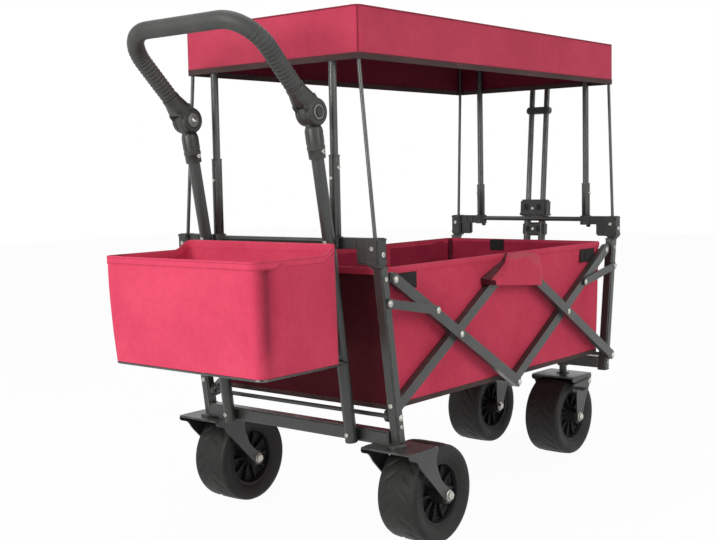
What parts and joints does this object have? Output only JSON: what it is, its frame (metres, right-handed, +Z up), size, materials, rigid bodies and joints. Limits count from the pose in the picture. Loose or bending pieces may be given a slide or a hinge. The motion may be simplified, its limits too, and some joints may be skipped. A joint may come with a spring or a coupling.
{
  "type": "folding wagon",
  "caption": "Fabric folding wagon with crossed side bars, a flat canopy on posts, a tail basket, an angled push handle, a pull handle and wide wheels on forks.",
  "frame": {"origin": "on the ground, at the middle of the bounding box", "axes": "+X towards the pull handle (front), +Y to the left, +Z up; the push handle and the tail basket are at -X"},
  "size_m": [1.1992, 0.5886, 0.954],
  "materials": {
    "frame": "charcoal powder coat",
    "plastic": "moulded black plastic",
    "foam": "soft black foam",
    "tyre": "black tyre",
    "fabric": "woven coated polyester, rose red",
    "mat": "fabric over stiff boards",
    "steel": "zinc-plated steel"
  },
  "bodies": {
    "rear_frame": {"rear_end_frame": "frame", "rear_top_rail": "frame", "rear_corner_clamp_left": "plastic", "rear_corner_clamp_right": "plastic", "handle_leg_left": "frame", "handle_leg_right": "frame", "knuckle_socket_left": "plastic", "knuckle_socket_right": "plastic", "tub_fabric": "fabric", "floor_mat": "mat", "basket_fabric": "fabric", "basket_wire": "frame"},
    "rising_rear": {"rising_frame_rear": "frame"},
    "falling_rear": {"falling_bar_rear_left": "frame", "falling_bar_rear_right": "frame"},
    "falling_front": {"falling_frame_front": "frame"},
    "rising_front": {"rising_frame_front": "frame"},
    "front_frame": {"front_end_frame": "frame", "front_top_rail": "frame", "front_corner_clamp_left": "plastic", "front_corner_clamp_right": "plastic", "pull_handle_bracket": "frame", "pull_pivot_pin": "steel", "front_fork_left": "frame", "front_fork_right": "frame", "front_axle_left": "steel", "front_axle_right": "steel"},
    "rear_links": {"rear_link_left": "frame", "rear_link_right": "frame"},
    "front_links": {"front_link_left": "frame", "front_link_right": "frame"},
    "push_handle": {"push_handle_tube": "frame", "push_handle_foam": "foam", "knuckle_caps_left": "plastic", "knuckle_caps_right": "plastic"},
    "button_left": {"knuckle_button_left": "plastic"},
    "button_right": {"knuckle_button_right": "plastic"},
    "canopy_rear": {"canopy_hoop_rear": "frame", "canopy_fabric": "fabric"},
    "canopy_front": {"canopy_hoop_front": "frame"},
    "pull_handle": {"pull_outer_tubes": "frame", "pull_collar": "plastic"},
    "pull_inner": {"pull_inner_rods": "frame", "pull_grip": "plastic"},
    "pull_button": {"pull_release_button": "steel"},
    "caster_left": {"caster_fork_left": "frame", "caster_axle_left": "steel"},
    "rear_wheel_left": {"tyre_rear_left": "tyre", "hub_rear_left": "plastic"},
    "front_wheel_left": {"tyre_front_left": "tyre", "hub_front_left": "plastic"},
    "brake_left": {"brake_lever_left": "frame"},
    "caster_right": {"caster_fork_right": "frame", "caster_axle_right": "steel"},
    "rear_wheel_right": {"tyre_rear_right": "tyre", "hub_rear_right": "plastic"},
    "front_wheel_right": {"tyre_front_right": "tyre", "hub_front_right": "plastic"},
    "brake_right": {"brake_lever_right": "frame"}
  },
  "joints": [
    {"name": "fold", "type": "hinge", "parent": "rear_frame", "child": "rising_rear", "pos_m": [-0.31165, 0, 0.236], "axis": [0, -1, 0], "range_deg": [0, 44], "deforming": ["tub_fabric", "floor_mat", "canopy_fabric"]},
    {"name": "fold_falling_rear", "type": "hinge", "parent": "rising_rear", "child": "falling_rear", "pos_m": [-0.11065, 0, 0.357], "axis": [0, -1, 0], "range_deg": [-89, 0]},
    {"name": "fold_falling_front", "type": "hinge", "parent": "rising_rear", "child": "falling_front", "pos_m": [0.09035, 0, 0.478], "axis": [0, -1, 0], "range_deg": [-89, 0]},
    {"name": "fold_rising_front", "type": "hinge", "parent": "falling_front", "child": "rising_front", "pos_m": [0.29135, 0, 0.357], "axis": [0, -1, 0], "range_deg": [0, 89]},
    {"name": "fold_front_frame", "type": "hinge", "parent": "falling_front", "child": "front_frame", "pos_m": [0.49235, 0, 0.236], "axis": [0, -1, 0], "range_deg": [0, 45]},
    {"name": "fold_rear_links", "type": "hinge", "parent": "rear_frame", "child": "rear_links", "pos_m": [-0.34015, 0, 0.437], "axis": [0, -1, 0], "range_deg": [0, 76]},
    {"name": "fold_front_links", "type": "hinge", "parent": "front_frame", "child": "front_links", "pos_m": [0.52085, 0, 0.437], "axis": [0, -1, 0], "range_deg": [-76, 0]},
    {"name": "caster_swivel_left", "type": "hinge", "parent": "rear_frame", "child": "caster_left", "pos_m": [-0.31165, 0.234, 0.1835], "axis": [0, 0, 1], "continuous": true},
    {"name": "rear_wheel_spin_left", "type": "hinge", "parent": "caster_left", "child": "rear_wheel_left", "pos_m": [-0.23265, 0.234, 0.08903], "axis": [0, 1, 0], "continuous": true},
    {"name": "caster_swivel_right", "type": "hinge", "parent": "rear_frame", "child": "caster_right", "pos_m": [-0.31165, -0.234, 0.1835], "axis": [0, 0, 1], "continuous": true},
    {"name": "rear_wheel_spin_right", "type": "hinge", "parent": "caster_right", "child": "rear_wheel_right", "pos_m": [-0.23265, -0.234, 0.08903], "axis": [0, 1, 0], "continuous": true},
    {"name": "front_wheel_spin_left", "type": "hinge", "parent": "front_frame", "child": "front_wheel_left", "pos_m": [0.47335, 0.108, 0.08903], "axis": [0, 1, 0], "continuous": true},
    {"name": "brake_left", "type": "hinge", "parent": "front_frame", "child": "brake_left", "pos_m": [0.51435, 0.1548, 0.1655], "axis": [0, -1, 0], "range_deg": [0, 20]},
    {"name": "front_wheel_spin_right", "type": "hinge", "parent": "front_frame", "child": "front_wheel_right", "pos_m": [0.47335, -0.108, 0.08903], "axis": [0, 1, 0], "continuous": true},
    {"name": "brake_right", "type": "hinge", "parent": "front_frame", "child": "brake_right", "pos_m": [0.51435, -0.1548, 0.1655], "axis": [0, -1, 0], "range_deg": [0, 20]},
    {"name": "push_handle_tilt", "type": "hinge", "parent": "rear_frame", "child": "push_handle", "pos_m": [-0.42165, 0, 0.76], "axis": [0, 1, 0], "range_deg": [-62, 43]},
    {"name": "knuckle_button_left", "type": "slide", "parent": "push_handle", "child": "button_left", "axis": [0, 1, 0], "range_m": [-0.003, 0], "stiffness_N_per_m": 400, "springref_m": 0.001},
    {"name": "knuckle_button_right", "type": "slide", "parent": "push_handle", "child": "button_right", "axis": [0, -1, 0], "range_m": [-0.003, 0], "stiffness_N_per_m": 400, "springref_m": 0.001},
    {"name": "canopy_lift_rear", "type": "slide", "parent": "rear_frame", "child": "canopy_rear", "axis": [0, 0, 1], "range_m": [0, 0.15]},
    {"name": "canopy_lift_front", "type": "slide", "parent": "front_frame", "child": "canopy_front", "axis": [0, 0, 1], "range_m": [0, 0.15]},
    {"name": "pull_handle_swing", "type": "hinge", "parent": "front_frame", "child": "pull_handle", "pos_m": [0.52385, 0, 0.2175], "axis": [0, 1, 0], "range_deg": [0, 80]},
    {"name": "pull_handle_telescope", "type": "slide", "parent": "pull_handle", "child": "pull_inner", "axis": [0.0888, 0, 0.996], "range_m": [-0.2, 0]},
    {"name": "pull_release_button", "type": "slide", "parent": "pull_inner", "child": "pull_button", "axis": [0.996, 0, -0.0888], "range_m": [-0.002, 0], "stiffness_N_per_m": 400, "springref_m": 0.001}
  ],
  "couplings": [
    {"joint": "fold_falling_rear", "follows": "fold", "ratio": -2},
    {"joint": "fold_falling_front", "follows": "fold", "ratio": -2},
    {"joint": "fold_rising_front", "follows": "fold", "ratio": 2},
    {"joint": "fold_front_frame", "follows": "fold", "ratio": 1},
    {"joint": "fold_rear_links", "follows": "fold", "ratio": 1.7},
    {"joint": "fold_front_links", "follows": "fold", "ratio": -1.7},
    {"joint": "canopy_lift_front", "follows": "canopy_lift_rear", "ratio": 1}
  ]
}
